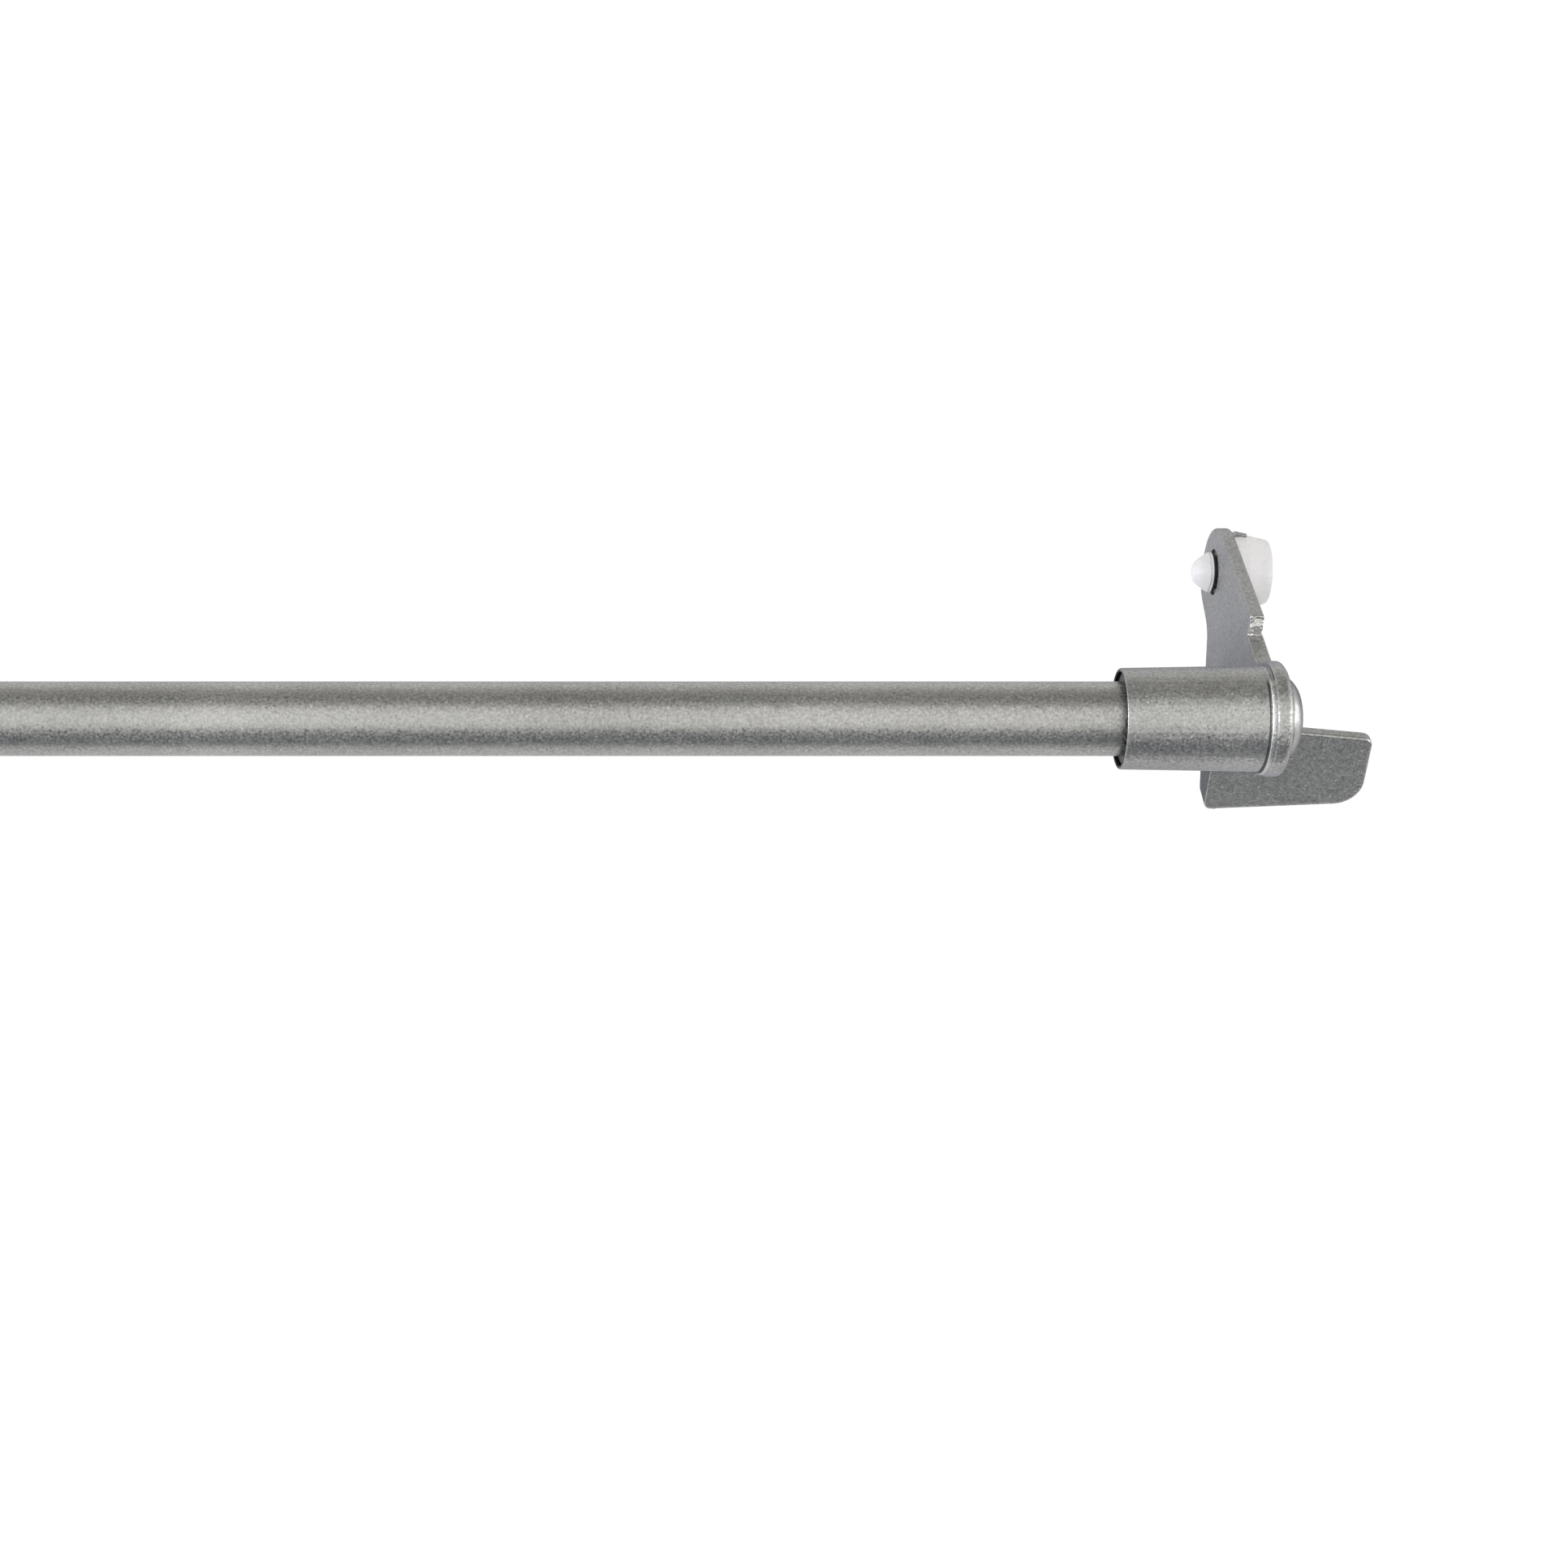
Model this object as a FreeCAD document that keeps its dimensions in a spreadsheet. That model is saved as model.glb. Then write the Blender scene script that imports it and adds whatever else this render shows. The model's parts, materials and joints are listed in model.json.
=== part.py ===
import FreeCAD, Part
import math
import os
import re

import Sketcher

# Telescopic tension rod for a window sash, in millimetres.
# X runs along the rod from the left end to the right end, Y points back into the glazing
# recess and Z is up. The origin is on the back of the left foot, where the left bumper's end
# plane meets the plane of the sash front, at the height of the foot's middle.

SIZES = {
    # The recess that the rod spans at rest, between the ends of the two bumpers
    "span": 560.0,
    # Rod axis in front of the sash, and above the middle of the foot
    "stand_off": 21.3,
    "axis_rise": 24.8,
    # Tubes
    "outer_tube_radius": 6.0,
    "outer_tube_bore": 5.4,
    "outer_tube_length": 360.0,
    "inner_tube_radius": 5.0,
    "inner_tube_bore": 4.4,
    "inner_tube_length": 300.0,
    # Small allowances: a seated pair in one body, a turning pair and an end gap
    "seat_gap": 0.02,
    "turn_gap": 0.05,
    "end_gap": 0.1,
    # Bracket: socket, collar and pivot hole
    "socket_length": 19.4,
    "socket_mouth_radius": 6.8,
    "socket_root_radius": 7.12,
    "socket_bore": 6.3,
    "socket_rim_round": 0.18,
    "neck_groove_width": 0.45,
    "neck_groove": 0.3,
    "collar_radius": 7.75,
    "collar_round": 0.7,
    "collar_inner_round": 0.35,
    "root_wall": 2.2,
    "pivot_radius": 2.0,
    # Bracket: arm, head and gate step, measured from the rod axis
    "web_wall": 2.0,
    "head_reach": 37.6,
    "head_drop": 1.5,
    "head_rear": 44.5,
    "head_top": 5.3,
    "head_bottom": 8.2,
    "head_top_round": 8.4,
    "head_bottom_round": 4.5,
    "gate_reach": 14.6,
    "gate_top": 6.5,
    "dip_top": 3.45,
    "dip_round": 5.0,
    "dip_ease": 1.0,
    "neck_reach": 35.2,
    "neck_drop": 10.2,
    "neck_round": 4.0,
    "heel_reach": 23.4,
    "heel_round": 2.4,
    "gusset_reach": 12.5,
    "gusset_drop": 10.5,
    "gusset_round": 12.0,
    "gusset_foot_drop": 21.5,
    "root_half": 4.0,
    "gate_stub": 0.6,
    "gate_stub_height": 2.5,
    "gate_stub_rise": 0.8,
    "gate_stub_nose": 0.8,
    "gate_stub_inset": 0.15,
    "edge_round": 0.35,
    # How far a cutting tool stands past what it cuts
    "overrun": 1.0,
    # Bracket: foot, measured outward from the arm's inner face and down from the rod axis
    "foot_wall": 1.8,
    "foot_length": 23.4,
    "foot_tip_flare": 0.4,
    "foot_top_drop": 16.7,
    "foot_top_tip_drop": 19.2,
    "foot_bottom_drop": 32.9,
    "foot_bottom_tip_drop": 31.7,
    "foot_inner_round": 1.2,
    "foot_toe_width": 1.6,
    "foot_lower_round": 4.2,
    "foot_upper_round": 1.6,
    # Bracket: lug beside the bumper
    "lug_reach": 4.0,
    "lug_width": 0.7,
    "lug_height": 0.4,
    "lug_drop": 0.25,
    "lug_rise": 0.35,
    "lug_fall": 0.1,
    # Bumper
    "bumper_hole": 2.85,
    "bumper_recess": 3.4,
    "bumper_recess_depth": 0.8,
    "bumper_neck": 2.55,
    "pad_length": 5.9,
    "pad_base_radius": 6.2,
    "pad_end_radius": 4.7,
    "pad_round": 0.6,
    "snap_gap": 0.45,
    "snap_rim": 0.5,
    "snap_radius": 3.0,
    "snap_length": 3.1,
    "snap_tip_radius": 1.5,
    "snap_tip_round": 1.2,
    "snap_shoulder": 0.6,
    "snap_shoulder_round": 1.0,
    # Pivot screw, thrust washer and tube plugs
    "dome_radius": 6.15,
    "dome_side": 1.0,
    "dome_height": 2.3,
    "dome_round": 0.9,
    "dome_crown_reach": 2.0,
    "dome_crown_round": 7.5,
    "screw_reach": 10.5,
    "screw_point": 0.4,
    "washer_thickness": 0.8,
    "washer_radius": 4.2,
    "plug_flange": 1.0,
    "plug_length": 12.0,
    "plug_lead": 0.5,
    "plug_groove": 0.5,
    "plug_groove_width": 1.2,
    # Socket adapter
    "adapter_radius": 6.2,
    "adapter_set_in": 0.5,
    "adapter_end_gap": 0.6,
    "adapter_round": 0.2,
    # Guide ring in the outer tube's mouth
    "guide_lip": 1.2,
    "guide_lip_radius": 6.35,
    "guide_liner_length": 14.0,
    "guide_round": 0.4,
    # Lock: split sleeve, cone nut, spindle
    "sleeve_length": 22.0,
    "sleeve_radius": 5.3,
    "sleeve_mouth": 4.5,
    "sleeve_throat": 2.9,
    "sleeve_taper_length": 6.0,
    "sleeve_collar": 3.0,
    "sleeve_slot_length": 17.0,
    "sleeve_slot_width": 1.2,
    "lock_travel": 1.6,
    "cone_gap": 0.06,
    "wedge_nose": 4.0,
    "wedge_length": 10.4,
    "wedge_back_radius": 4.9,
    "wedge_key_radius": 5.1,
    "wedge_key_setback": 1.0,
    "thread_radius": 2.4,
    "thread_run": 8.0,
    "clip_thickness": 0.8,
    "clip_radius": 3.6,
    "clip_groove_radius": 1.9,
    "clip_mouth": 2.8,
    "spindle_tip": 0.9,
    "shoulder_radius": 4.3,
    "shoulder_length": 1.6,
    "shank_width": 4.0,
    "shank_end_radius": 1.8,
    "spring_stroke": 10.0,
    "stroke_spare": 0.5,
    # Bush, piston, spring and its seat
    "bush_flange": 1.2,
    "bush_length": 12.0,
    "square_gap": 0.1,
    "piston_disc": 1.4,
    "piston_hub": 3.2,
    "piston_hub_radius": 2.8,
    "piston_radius": 4.25,
    "rivet_length": 0.8,
    "rivet_radius": 2.3,
    "spring_length": 62.0,
    "spring_pitch": 5.0,
    "spring_wire": 0.55,
    "spring_mean_radius": 3.45,
    "spring_seat_length": 7.0,
    "spring_seat_pin": 2.4,
    "spring_seat_pin_length": 5.0,
    "seat_pin_round": 0.6,
}

SLOT_COUNT = 3

# Sizes that follow from the ones above
DERIVED = {
    "pad_reach": "web_wall + pad_length",
    "foot_front": "stand_off - foot_wall",
    "right_web": "span - pad_reach",
    "middle": "span / 2",
    "bearing_face": "end_gap + washer_thickness",
    "tube_setback": "bearing_face + plug_flange",
    "outer_tube_start": "pad_reach + tube_setback",
    "outer_tube_mouth": "outer_tube_start + outer_tube_length",
    "inner_tube_end": "right_web - tube_setback",
    "inner_tube_start": "inner_tube_end - inner_tube_length",
    "dip_centre_rise": "dip_top + dip_round",
    "dip_centre_span": "collar_radius + dip_round",
    "dip_centre_reach": "sqrt(dip_centre_span ^ 2 - dip_centre_rise ^ 2)",
    "dip_touch_reach": "dip_centre_reach * collar_radius / dip_centre_span",
    "dip_touch_rise": "dip_centre_rise * collar_radius / dip_centre_span",
    "dip_run": "sqrt((dip_centre_span - dip_centre_rise) / (dip_centre_span + dip_centre_rise))",
    "dip_corner_reach": "dip_centre_reach - dip_round * dip_run",
    "lug_floor": "head_top - lug_drop",
    "pivot_hole": "pivot_radius + turn_gap",
    "dome_seat": "root_wall + end_gap",
    "guide_bore": "inner_tube_radius + turn_gap",
    "thread_hole": "thread_radius + turn_gap",
    "shoulder_face": "sleeve_length + turn_gap",
    "shank_start": "shoulder_face + shoulder_length",
    "bush_face": "shank_start + spring_stroke + stroke_spare",
    "bush_end": "bush_face + bush_flange + bush_length",
    "piston_face": "bush_end + turn_gap",
    "piston_bottom": "piston_face + piston_disc",
    "spring_start": "piston_bottom + turn_gap",
    "spring_end": "spring_start + spring_length",
    "seat_face": "spring_end + turn_gap",
    "lock_place": "inner_tube_start - bush_flange - bush_face",
    "sleeve_slope": "(sleeve_mouth - sleeve_throat) / sleeve_taper_length",
    "cone_at_mouth": "sleeve_mouth - lock_travel * sleeve_slope - cone_gap",
    "cone_nose": "cone_at_mouth - wedge_nose * sleeve_slope",
    "cone_back": "(wedge_back_radius - cone_at_mouth) / sleeve_slope",
    "clip_face": "0 - thread_run",
    "clip_outer": "clip_face - clip_thickness",
    "spindle_end": "clip_outer - spindle_tip",
}

WORD = re.compile(r"[a-z][a-z_]*")

# Nearness at which two places count as the same
TOUCH = 0.01


def bound(text):
    """An expression in the names above, spelled out in cells of the sheet."""

    def swap(match):
        name = match.group(0)
        if name in DERIVED:
            return "(" + bound(DERIVED[name]) + ")"
        if name in SIZES:
            return "sizes." + name
        return name

    return WORD.sub(swap, text)


doc = FreeCAD.newDocument("tension_rod")
sheet = doc.addObject("Spreadsheet::Sheet", "sizes")
for row, (alias, number) in enumerate(SIZES.items(), start=1):
    sheet.set(f"A{row}", alias.replace("_", " "))
    sheet.set(f"B{row}", str(number))
    sheet.setAlias(f"B{row}", alias)
doc.recompute()


def value(text):
    """What an expression comes to, in millimetres."""
    return float(sheet.evalExpression(bound(text)))


def origin_part(body, role):
    """The body's own origin plane or axis with this role."""
    for feature in body.Origin.OriginFeatures:
        if feature.Role == role:
            return feature
    raise ValueError(role)


def new_body(name, along, across="0 - stand_off", up="axis_rise", turned=False):
    """A body on the rod axis or at the place given, end for end if turned."""
    body = doc.addObject("PartDesign::Body", name)
    body.Label = name
    half_turn = FreeCAD.Rotation(FreeCAD.Vector(0, 0, 1), 180 if turned else 0)
    body.Placement = FreeCAD.Placement(FreeCAD.Vector(0, 0, 0), half_turn)
    body.setExpression(".Placement.Base.x", bound(along))
    body.setExpression(".Placement.Base.y", bound(across))
    body.setExpression(".Placement.Base.z", bound(up))
    return body


def new_sketch(body, role, name, shift=None):
    """A sketch on one of the body's origin planes, moved along its normal by shift."""
    sketch = body.newObject("Sketcher::SketchObject", name)
    sketch.AttachmentSupport = [(origin_part(body, role), "")]
    sketch.MapMode = "FlatFace"
    if shift is not None:
        sketch.setExpression(".AttachmentOffset.Base.z", bound(shift))
    return sketch


def pin_point(sketch, geometry, which, across, up):
    """Ties a point of the sketch to two expressions."""
    for kind, text in (("DistanceX", across), ("DistanceY", up)):
        number = sketch.addConstraint(
            Sketcher.Constraint(kind, -1, 1, geometry, which, value(text))
        )
        sketch.setExpression(f"Constraints[{number}]", bound(text))


def rounding(before, corner, after, radius):
    """Tangent points, centre and turn of the arc that rounds a corner."""
    back = (before - corner).normalize()
    forth = (after - corner).normalize()
    half = back.getAngle(forth) / 2
    run = radius / math.tan(half)
    middle = (back + forth).normalize()
    centre = corner + middle * (radius / math.sin(half))
    turns_left = back.cross(forth).z < 0
    return corner + back * run, corner + forth * run, centre, turns_left


def draw_outline(sketch, corners):
    """A closed outline of straight sides. A corner is two expressions, and a third rounds it."""
    points = [FreeCAD.Vector(value(c[0]), value(c[1]), 0) for c in corners]
    count = len(corners)
    starts = list(points)
    ends = list(points)
    arcs = {}
    for index, corner in enumerate(corners):
        if len(corner) > 2:
            arc = rounding(
                points[index - 1],
                points[index],
                points[(index + 1) % count],
                value(corner[2]),
            )
            ends[index], starts[index] = arc[0], arc[1]
            arcs[index] = arc
    first = sketch.GeometryCount
    for index in range(count):
        side = Part.LineSegment(starts[index], ends[(index + 1) % count])
        sketch.addGeometry(side)
    for index, corner in enumerate(corners):
        side_in = first + (index - 1) % count
        side_out = first + index
        if index not in arcs:
            joint = Sketcher.Constraint("Coincident", side_in, 2, side_out, 1)
            sketch.addConstraint(joint)
            pin_point(sketch, side_out, 1, corner[0], corner[1])
            continue
        round_corner(sketch, side_in, side_out, points[index], corner, arcs[index])


def round_corner(sketch, side_in, side_out, point, corner, arc_facts):
    """Draws the arc at a rounded corner and ties the two sides to the corner's place."""
    begin, finish, centre, turns_left = arc_facts
    if not turns_left:
        begin, finish = finish, begin
    radius = (begin - centre).Length
    from_angle = math.atan2(begin.y - centre.y, begin.x - centre.x)
    to_angle = math.atan2(finish.y - centre.y, finish.x - centre.x)
    circle = Part.Circle(centre, FreeCAD.Vector(0, 0, 1), radius)
    arc = sketch.addGeometry(Part.ArcOfCircle(circle, from_angle, to_angle))
    in_end, out_end = (1, 2) if turns_left else (2, 1)
    sketch.addConstraint(Sketcher.Constraint("Tangent", side_in, 2, arc, in_end))
    sketch.addConstraint(Sketcher.Constraint("Tangent", arc, out_end, side_out, 1))
    number = sketch.addConstraint(Sketcher.Constraint("Radius", arc, radius))
    sketch.setExpression(f"Constraints[{number}]", bound(corner[2]))
    mark = sketch.addGeometry(Part.Point(point), True)
    sketch.addConstraint(Sketcher.Constraint("PointOnObject", mark, 1, side_in))
    sketch.addConstraint(Sketcher.Constraint("PointOnObject", mark, 1, side_out))
    pin_point(sketch, mark, 1, corner[0], corner[1])


def draw_circle(sketch, radius, across="0", up="0"):
    """A circle of the sketch with its centre at two expressions."""
    centre = FreeCAD.Vector(value(across), value(up), 0)
    circle = Part.Circle(centre, FreeCAD.Vector(0, 0, 1), value(radius))
    geometry = sketch.addGeometry(circle)
    number = sketch.addConstraint(Sketcher.Constraint("Radius", geometry, value(radius)))
    sketch.setExpression(f"Constraints[{number}]", bound(radius))
    pin_point(sketch, geometry, 3, across, up)


def revolve(body, name, corners, groove=False):
    """Turns an outline of (along the axis, radius) corners about the body's X axis."""
    sketch = new_sketch(body, "XY_Plane", name + "_profile")
    draw_outline(sketch, corners)
    kind = "PartDesign::Groove" if groove else "PartDesign::Revolution"
    feature = body.newObject(kind, name)
    feature.Profile = sketch
    feature.ReferenceAxis = (origin_part(body, "X_Axis"), [""])
    feature.Angle = 360
    body.Tip = feature
    doc.recompute()
    return feature


def pad(body, name, sketch, length, reverse=False):
    """Extrudes a sketch by an expression."""
    feature = body.newObject("PartDesign::Pad", name)
    feature.Profile = sketch
    feature.setExpression("Length", bound(length))
    feature.Reversed = reverse
    body.Tip = feature
    doc.recompute()
    return feature


def pocket(body, name, sketch, length, reverse=False):
    """Cuts a sketch into the body and checks that something went."""
    before = body.Shape.Volume
    feature = body.newObject("PartDesign::Pocket", name)
    feature.Profile = sketch
    feature.setExpression("Length", bound(length))
    feature.Reversed = reverse
    body.Tip = feature
    doc.recompute()
    if feature.Shape.Volume > before - 0.001:
        raise ValueError(name + " cuts nothing")
    return feature


def fillet(body, name, wanted, radius):
    """Rounds the edges of the body's last shape that pass the test wanted(edge)."""
    base = body.Tip
    names = [
        f"Edge{number}"
        for number, edge in enumerate(base.Shape.Edges, start=1)
        if wanted(edge)
    ]
    if not names:
        raise ValueError(name + " finds no edge")
    feature = body.newObject("PartDesign::Fillet", name)
    feature.Base = (base, names)
    feature.setExpression("Radius", bound(radius))
    body.Tip = feature
    doc.recompute()
    if "Invalid" in feature.State:
        raise ValueError(name + " can't be made")
    return feature


def ring_at(along, radius):
    """A test for the circle of this radius about the X axis at this place."""

    def test(edge):
        curve = edge.Curve
        return (
            isinstance(curve, Part.Circle)
            and abs(curve.Radius - value(radius)) < TOUCH
            and abs(curve.Center.x - value(along)) < TOUCH
            and math.hypot(curve.Center.y, curve.Center.z) < TOUCH
        )

    return test


def mirror(source, name):
    """The left-hand copy of a right-hand piece, mirrored in the middle of the span."""
    copy = doc.addObject("Part::Mirroring", name)
    copy.Label = name
    copy.Source = source
    copy.Normal = (1, 0, 0)
    copy.setExpression(".Base.x", bound("middle"))
    return copy


# Bracket casting


def make_bracket():
    """One zinc casting: collar, arm, head, foot, grooved socket, lug and gate step."""
    body = new_body("right_bracket", "right_web")

    dip = [
        ("0", "0"),
        ("dip_touch_reach", "dip_touch_rise"),
        ("dip_corner_reach", "dip_top", "dip_round - dip_ease"),
        ("gate_reach", "dip_top"),
    ]
    arm = new_sketch(body, "YZ_Plane", "arm_outline")
    draw_outline(
        arm,
        [
            *dip,
            ("gate_reach", "gate_top"),
            ("head_rear", "head_top", "head_top_round"),
            ("head_rear", "0 - head_bottom", "head_bottom_round"),
            ("neck_reach", "0 - neck_drop", "neck_round"),
            ("heel_reach", "0 - foot_bottom_drop", "heel_round"),
            ("foot_front", "0 - foot_bottom_drop"),
            ("foot_front", "0 - gusset_foot_drop"),
            ("gusset_reach", "0 - gusset_drop", "gusset_round"),
            ("0", "0 - socket_mouth_radius"),
        ],
    )
    pad(body, "arm", arm, "web_wall")
    fillet(body, "arm_inner_fillet", arm_rim("0"), "edge_round")
    fillet(body, "arm_outer_fillet", arm_rim("web_wall"), "edge_round")
    fillet(body, "gusset_inner_fillet", gusset_rim("0"), "edge_round")
    fillet(body, "gusset_outer_fillet", gusset_rim("web_wall"), "edge_round")

    root = new_sketch(body, "YZ_Plane", "root_outline")
    draw_outline(
        root,
        [
            *dip,
            ("gate_reach", "0 - root_half"),
            ("0", "0 - socket_mouth_radius"),
        ],
    )
    pad(body, "thick_root", root, "root_wall")

    revolve(
        body,
        "collar",
        [
            ("0", "0"),
            ("0", "collar_radius", "collar_inner_round"),
            ("root_wall", "collar_radius", "collar_round"),
            ("root_wall", "0"),
        ],
    )

    foot = new_sketch(body, "XZ_Plane", "foot_outline", "0 - foot_front")
    draw_outline(
        foot,
        [
            ("web_wall / 2", "0 - foot_top_drop"),
            ("web_wall / 2", "0 - foot_bottom_drop"),
            ("foot_length + foot_tip_flare", "0 - foot_bottom_tip_drop", "foot_lower_round"),
            ("foot_length", "0 - foot_top_tip_drop", "foot_upper_round"),
        ],
    )
    pad(body, "foot", foot, "foot_wall", reverse=True)

    corner = new_sketch(body, "XZ_Plane", "foot_corner_outline", "0 - foot_front")
    draw_outline(
        corner,
        [
            ("0 - overrun", "0 - foot_bottom_drop - overrun"),
            ("foot_inner_round + overrun", "0 - foot_bottom_drop - overrun"),
            ("foot_inner_round + overrun", "0 - foot_bottom_drop"),
            ("0", "0 - foot_bottom_drop", "foot_inner_round"),
            ("0", "foot_inner_round + overrun - foot_bottom_drop"),
            ("0 - overrun", "foot_inner_round + overrun - foot_bottom_drop"),
        ],
    )
    pocket(body, "foot_corner", corner, "heel_reach + heel_round - foot_front")
    fillet(body, "foot_fillet", foot_rim, "edge_round")

    toe = new_sketch(body, "YZ_Plane", "foot_toe_outline")
    draw_outline(
        toe,
        [
            ("foot_front - overrun", "0 - foot_bottom_drop - overrun"),
            ("foot_front + edge_round + overrun", "0 - foot_bottom_drop - overrun"),
            ("foot_front + edge_round + overrun", "0 - foot_bottom_drop"),
            ("foot_front", "0 - foot_bottom_drop", "edge_round"),
            ("foot_front", "edge_round + overrun - foot_bottom_drop"),
            ("foot_front - overrun", "edge_round + overrun - foot_bottom_drop"),
        ],
    )
    pocket(body, "foot_toe", toe, "foot_toe_width", reverse=True)

    revolve(
        body,
        "socket",
        [
            ("0 - socket_length", "0"),
            ("0 - socket_length", "socket_mouth_radius"),
            ("0 - neck_groove_width", "socket_root_radius"),
            ("0 - neck_groove_width", "socket_root_radius - neck_groove"),
            ("0", "socket_root_radius - neck_groove"),
            ("0", "0"),
        ],
    )

    lug = new_sketch(body, "XZ_Plane", "lug_outline", "0 - head_reach")
    draw_outline(
        lug,
        [
            ("web_wall / 2", "lug_floor"),
            ("lug_reach", "lug_floor - lug_fall"),
            ("lug_reach", "lug_floor - lug_fall + lug_height"),
            ("web_wall", "lug_floor + lug_height + lug_rise"),
            ("web_wall", "lug_floor + lug_drop / 2"),
            ("web_wall / 2", "lug_floor + lug_drop / 2"),
        ],
    )
    pad(body, "lug", lug, "lug_width")

    stub = new_sketch(body, "YZ_Plane", "gate_outline", "gate_stub_inset")
    draw_outline(
        stub,
        [
            ("gate_reach + gate_stub", "dip_top - gate_stub"),
            ("gate_reach", "dip_top"),
            ("gate_reach - gate_stub", "dip_top + gate_stub_rise"),
            ("gate_reach - gate_stub", "dip_top + gate_stub_rise + gate_stub_nose"),
            ("gate_reach", "dip_top + gate_stub_height"),
            ("gate_reach + gate_stub", "dip_top + gate_stub_height"),
        ],
    )
    pad(body, "gate_stub", stub, "web_wall - 2 * gate_stub_inset")

    revolve(
        body,
        "bore",
        [
            ("0 - socket_length - overrun", "0"),
            ("0 - socket_length - overrun", "socket_bore"),
            ("0", "socket_bore"),
            ("0", "pivot_hole"),
            ("root_wall + overrun", "pivot_hole"),
            ("root_wall + overrun", "0"),
        ],
        groove=True,
    )

    hole = new_sketch(body, "YZ_Plane", "bumper_hole_outline")
    draw_circle(hole, "bumper_hole", "head_reach", "0 - head_drop")
    pocket(body, "bumper_hole", hole, "web_wall", reverse=True)
    recess = new_sketch(body, "YZ_Plane", "bumper_recess_outline")
    draw_circle(recess, "bumper_recess", "head_reach", "0 - head_drop")
    pocket(body, "bumper_recess", recess, "bumper_recess_depth", reverse=True)

    rim = ring_at("0 - socket_length", "socket_mouth_radius")
    fillet(body, "rim_fillet", rim, "socket_rim_round")
    return body


def arm_rim(place):
    """A test for the edges round the arm's face at this place, behind the gate and the foot."""

    def test(edge):
        flat = all(abs(vertex.X - value(place)) < TOUCH for vertex in edge.Vertexes)
        middle = edge.CenterOfMass
        on_front = middle.z < 0 and middle.y < value("foot_front") + TOUCH
        return flat and middle.y > value("gate_reach") + TOUCH and not on_front

    return test


def gusset_rim(place):
    """A test for the edges of the arm's face at this place between the socket and the foot."""

    def test(edge):
        flat = all(abs(vertex.X - value(place)) < TOUCH for vertex in edge.Vertexes)
        middle = edge.CenterOfMass
        below_socket = middle.z < 0 and middle.y > value("socket_mouth_radius / 2")
        return flat and below_socket and middle.y < value("foot_front") - TOUCH

    return test


def foot_rim(edge):
    """A test for the edges round the foot's front and back faces, beyond the arm."""
    places = [vertex.Y for vertex in edge.Vertexes]
    on_front = all(abs(place - value("foot_front")) < TOUCH for place in places)
    on_back = all(abs(place - value("stand_off")) < TOUCH for place in places)
    return (on_front or on_back) and edge.CenterOfMass.x > value("web_wall") + TOUCH


# Bumper, pivot screw, washer, plug and adapter, measured outward from the arm's inner face


def make_bumper(name, along, turned):
    """Clear bumper: thick cone outside the arm, neck through its hole, snap head inside."""
    body = new_body(name, along, "head_reach - stand_off", "axis_rise - head_drop", turned)
    revolve(
        body,
        "bumper_form",
        [
            ("0 - snap_length", "0"),
            ("0 - snap_length", "snap_tip_radius", "snap_tip_round"),
            ("0 - snap_gap - snap_rim - snap_shoulder", "snap_radius", "snap_shoulder_round"),
            ("0 - snap_gap", "snap_radius"),
            ("0 - snap_gap", "bumper_neck"),
            ("web_wall", "bumper_neck"),
            ("web_wall", "pad_base_radius"),
            ("pad_reach", "pad_end_radius", "pad_round"),
            ("pad_reach", "0"),
        ],
    )
    return body


def make_pivot_screw(name, along, turned):
    """Domed screw that holds the bracket to the tube plug and lets it swivel."""
    body = new_body(name, along, turned=turned)
    revolve(
        body,
        "screw_form",
        [
            ("0 - screw_reach", "0"),
            ("0 - screw_reach", "pivot_radius - screw_point"),
            ("screw_point - screw_reach", "pivot_radius"),
            ("dome_seat", "pivot_radius"),
            ("dome_seat", "dome_radius"),
            ("dome_seat + dome_side", "dome_radius", "dome_round"),
            ("dome_seat + dome_height", "dome_crown_reach", "dome_crown_round"),
            ("dome_seat + dome_height", "0"),
        ],
    )
    return body


def make_thrust_washer(name, along, turned):
    """Flat washer between the socket's floor and the tube plug."""
    body = new_body(name, along, turned=turned)
    revolve(
        body,
        "washer_form",
        [
            ("0 - bearing_face", "pivot_hole"),
            ("0 - bearing_face", "washer_radius"),
            ("0 - end_gap", "washer_radius"),
            ("0 - end_gap", "pivot_hole"),
        ],
    )
    return body


def make_tube_plug(name, along, turned, tube_radius, tube_bore):
    """Moulded plug in a tube's end: flange, grooved spigot and blind screw hole."""
    body = new_body(name, along, turned=turned)
    spigot = tube_bore + " - seat_gap"
    groove = spigot + " - plug_groove"
    groove_start = "0 - tube_setback - plug_length / 3"
    groove_end = groove_start + " - plug_groove_width"
    revolve(
        body,
        "plug_form",
        [
            ("0 - bearing_face", "pivot_radius + seat_gap"),
            ("0 - bearing_face", tube_radius + " - turn_gap"),
            ("0 - tube_setback", tube_radius + " - turn_gap"),
            ("0 - tube_setback", spigot),
            (groove_start, spigot),
            (groove_start, groove),
            (groove_end, groove),
            (groove_end, spigot),
            ("plug_lead - tube_setback - plug_length", spigot),
            ("0 - tube_setback - plug_length", spigot + " - plug_lead"),
            ("0 - tube_setback - plug_length", "0"),
            ("0 - screw_reach - end_gap", "0"),
            ("0 - screw_reach - end_gap", "pivot_radius + seat_gap"),
        ],
    )
    return body


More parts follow.
